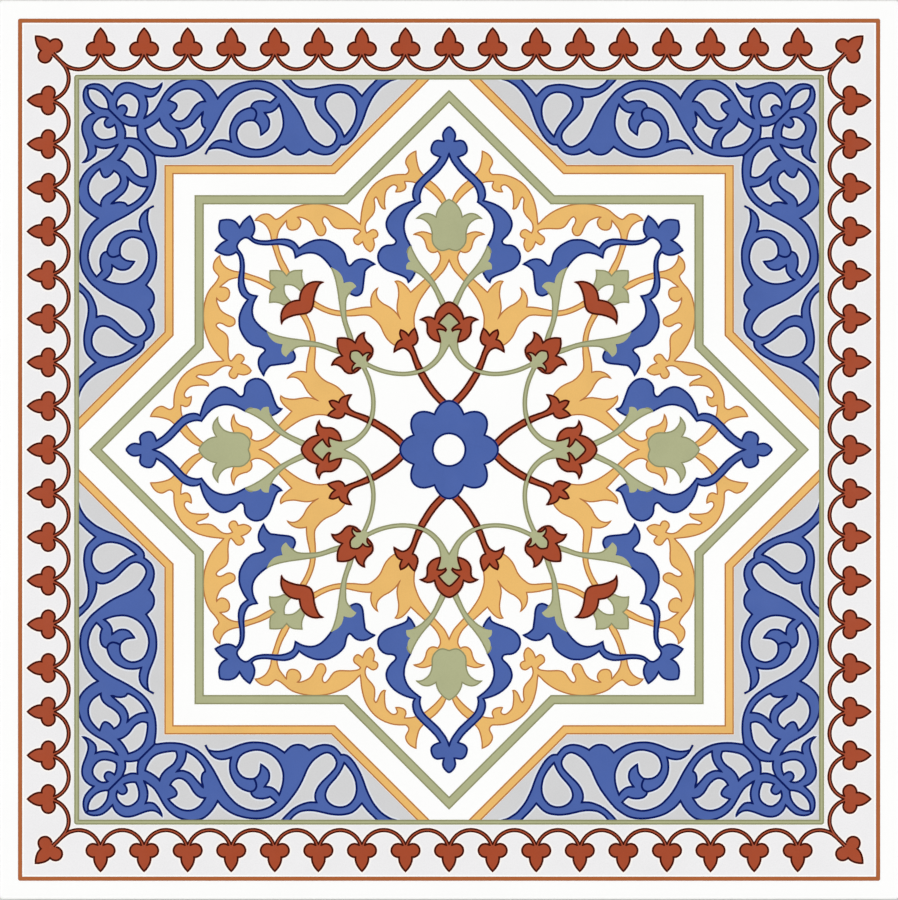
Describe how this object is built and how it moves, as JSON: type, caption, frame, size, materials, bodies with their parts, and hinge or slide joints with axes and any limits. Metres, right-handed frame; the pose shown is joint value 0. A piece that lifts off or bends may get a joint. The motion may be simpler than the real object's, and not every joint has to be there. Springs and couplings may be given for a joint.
{
  "type": "floor tile",
  "caption": "Square glazed floor tile with an eased arris, a ribbed keying back and a traditional eight-pointed star ornament in coloured enamels.",
  "frame": {"origin": "middle of the back, on the plane of the ribs that meet the bed", "axes": "+Z out of the glazed face; X and Y along the tile's edges"},
  "size_m": [0.3, 0.3, 0.0095],
  "materials": {
    "white_glaze": "satin",
    "stoneware_body": "matte",
    "pale_grey_glaze": "satin",
    "grey_glaze": "satin",
    "blue_enamel": "satin",
    "yellow_enamel": "satin",
    "green_enamel": "satin",
    "red_enamel": "satin",
    "outline_enamel": "satin"
  },
  "bodies": {
    "root": {"tile": "white_glaze"}
  },
  "joints": []
}
